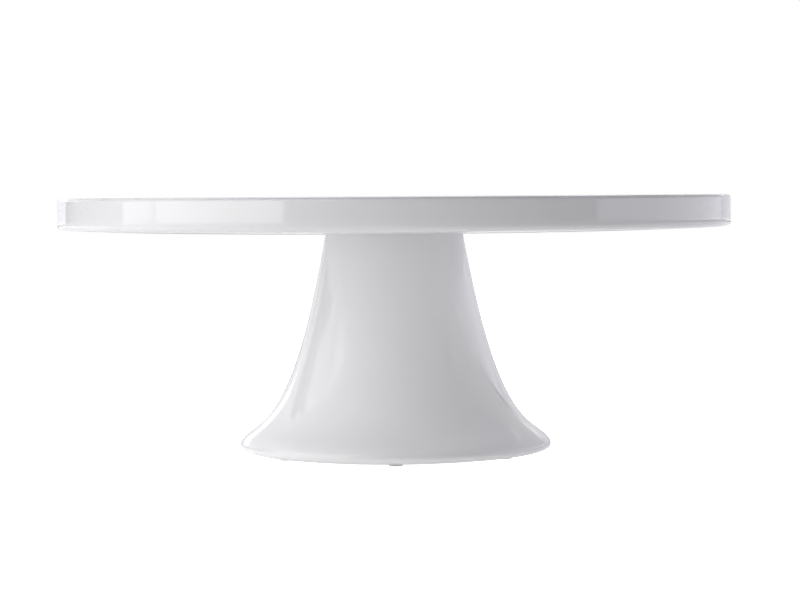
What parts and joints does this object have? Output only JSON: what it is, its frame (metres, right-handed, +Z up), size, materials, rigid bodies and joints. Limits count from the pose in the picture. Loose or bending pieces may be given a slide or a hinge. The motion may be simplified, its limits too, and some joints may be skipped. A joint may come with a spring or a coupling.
{
  "type": "cake stand",
  "caption": "Flat round plate with an upright rim on a flared hollow pedestal, white glazed porcelain, held together by a hidden clamp screw.",
  "frame": {"origin": "centre of the circle that the foot pads rest on, at table height", "axes": "+Z straight up along the stand's axis; +X and +Y lie on the table, and the stand looks the same from every side"},
  "size_m": [0.3, 0.3, 0.1156],
  "materials": {
    "glazed_porcelain": "bright white porcelain under a clear glossy glaze, bare ground ring under the foot",
    "bonding_cement": "matt pale grey two-part cement",
    "insert_brass": "turned brass",
    "gasket_silicone": "milky translucent silicone",
    "washer_rubber": "matt black rubber",
    "plated_steel": "bright zinc plating",
    "knob_nylon": "white moulded nylon, fine matt texture",
    "pad_silicone": "clear soft silicone"
  },
  "bodies": {
    "base": {"pedestal": "glazed_porcelain", "foot_pads": "pad_silicone", "seat_gasket": "gasket_silicone"},
    "top": {"plate": "glazed_porcelain", "insert_cement": "bonding_cement", "threaded_insert": "insert_brass"},
    "washers": {"cushion_washer": "washer_rubber", "steel_washer": "plated_steel"},
    "screw": {"screw_stud": "plated_steel", "screw_knob": "knob_nylon"}
  },
  "joints": [
    {"name": "plate_lift", "type": "slide", "parent": "base", "child": "top", "axis": [0, 0, 1], "range_m": [0, 0.04]},
    {"name": "washer_drop", "type": "slide", "parent": "base", "child": "washers", "axis": [0, 0, -1], "range_m": [0, 0.008]},
    {"name": "screw_turn", "type": "hinge", "parent": "washers", "child": "screw", "pos_m": [0, 0, 0.0865], "axis": [0, 0, -1], "range_deg": [0, 2880]}
  ],
  "couplings": [
    {"joint": "washer_drop", "follows": "screw_turn", "m_per_rad": 0.00015915}
  ]
}
